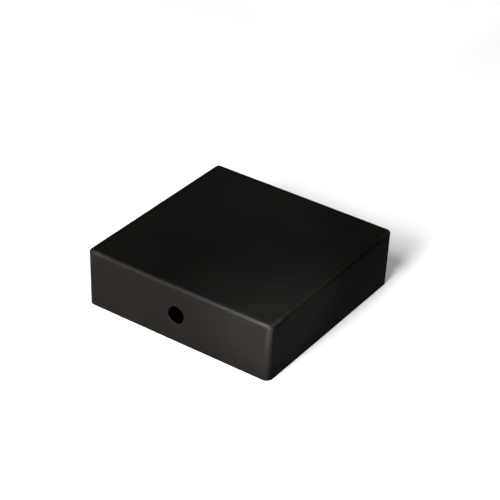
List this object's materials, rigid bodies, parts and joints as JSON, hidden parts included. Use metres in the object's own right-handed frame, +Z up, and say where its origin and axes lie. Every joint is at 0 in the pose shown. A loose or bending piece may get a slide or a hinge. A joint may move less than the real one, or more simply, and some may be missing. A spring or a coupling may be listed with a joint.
{
  "type": "fence post cap",
  "caption": "Flat square steel cap that drops over the top of a square wooden fence post and is screwed to it through two opposite walls.",
  "frame": {"origin": "centre of the open rim, in the plane of the cap's lowest edge", "axes": "+Z up through the top plate, along the post; the walls with the screw holes face -Y (front) and +Y (rear); +X is to the right, seen from the front"},
  "size_m": [0.075, 0.075, 0.022],
  "materials": {
    "coated_plate": "satin black powder coat, very fine texture",
    "coated_weld": "satin black powder coat over a weld that is ground smooth outside"
  },
  "bodies": {
    "root": {"top_plate": "coated_plate", "skirt_front": "coated_plate", "skirt_right": "coated_plate", "skirt_rear": "coated_plate", "skirt_left": "coated_plate", "top_weld_front": "coated_weld", "top_weld_right": "coated_weld", "top_weld_rear": "coated_weld", "top_weld_left": "coated_weld", "corner_weld_front_right": "coated_weld", "corner_weld_rear_right": "coated_weld", "corner_weld_rear_left": "coated_weld", "corner_weld_front_left": "coated_weld"}
  },
  "joints": []
}
